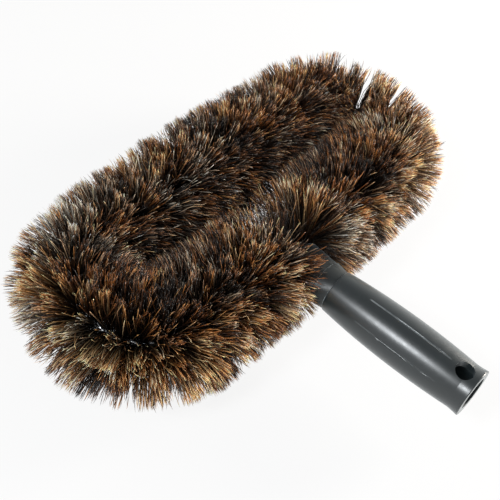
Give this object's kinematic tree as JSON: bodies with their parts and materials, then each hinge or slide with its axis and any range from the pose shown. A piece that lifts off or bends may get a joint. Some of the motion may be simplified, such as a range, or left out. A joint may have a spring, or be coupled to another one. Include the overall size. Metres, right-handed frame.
{
  "type": "cobweb brush",
  "caption": "Cobweb brush: hair twisted between two steel wires, bent into a long closed loop, on a hollow plastic grip with a pole socket and a side hole.",
  "frame": {"origin": "centre of the pole socket's mouth, in the butt face of the grip", "axes": "+Y along the handle towards the head, +Z square to the flat loop on the side with the side hole, +X along the loop's long way"},
  "size_m": [0.3939, 0.3027, 0.0895],
  "materials": {
    "grip_plastic": "semi-gloss moulded",
    "neck_plastic": "satin moulded",
    "steel_wire": "galvanised",
    "bristle_hair": "natural hair mix, dark roots and paler tips"
  },
  "bodies": {
    "root": {"grip": "grip_plastic", "neck": "neck_plastic", "twisted_wire_a": "steel_wire", "twisted_wire_b": "steel_wire", "bristles_01": "bristle_hair", "bristles_02": "bristle_hair", "bristles_03": "bristle_hair", "bristles_04": "bristle_hair", "bristles_05": "bristle_hair", "bristles_06": "bristle_hair", "bristles_07": "bristle_hair", "bristles_08": "bristle_hair", "bristles_09": "bristle_hair", "bristles_10": "bristle_hair", "bristles_11": "bristle_hair", "bristles_12": "bristle_hair", "bristles_13": "bristle_hair", "bristles_14": "bristle_hair", "bristles_15": "bristle_hair", "bristles_16": "bristle_hair"}
  },
  "joints": []
}
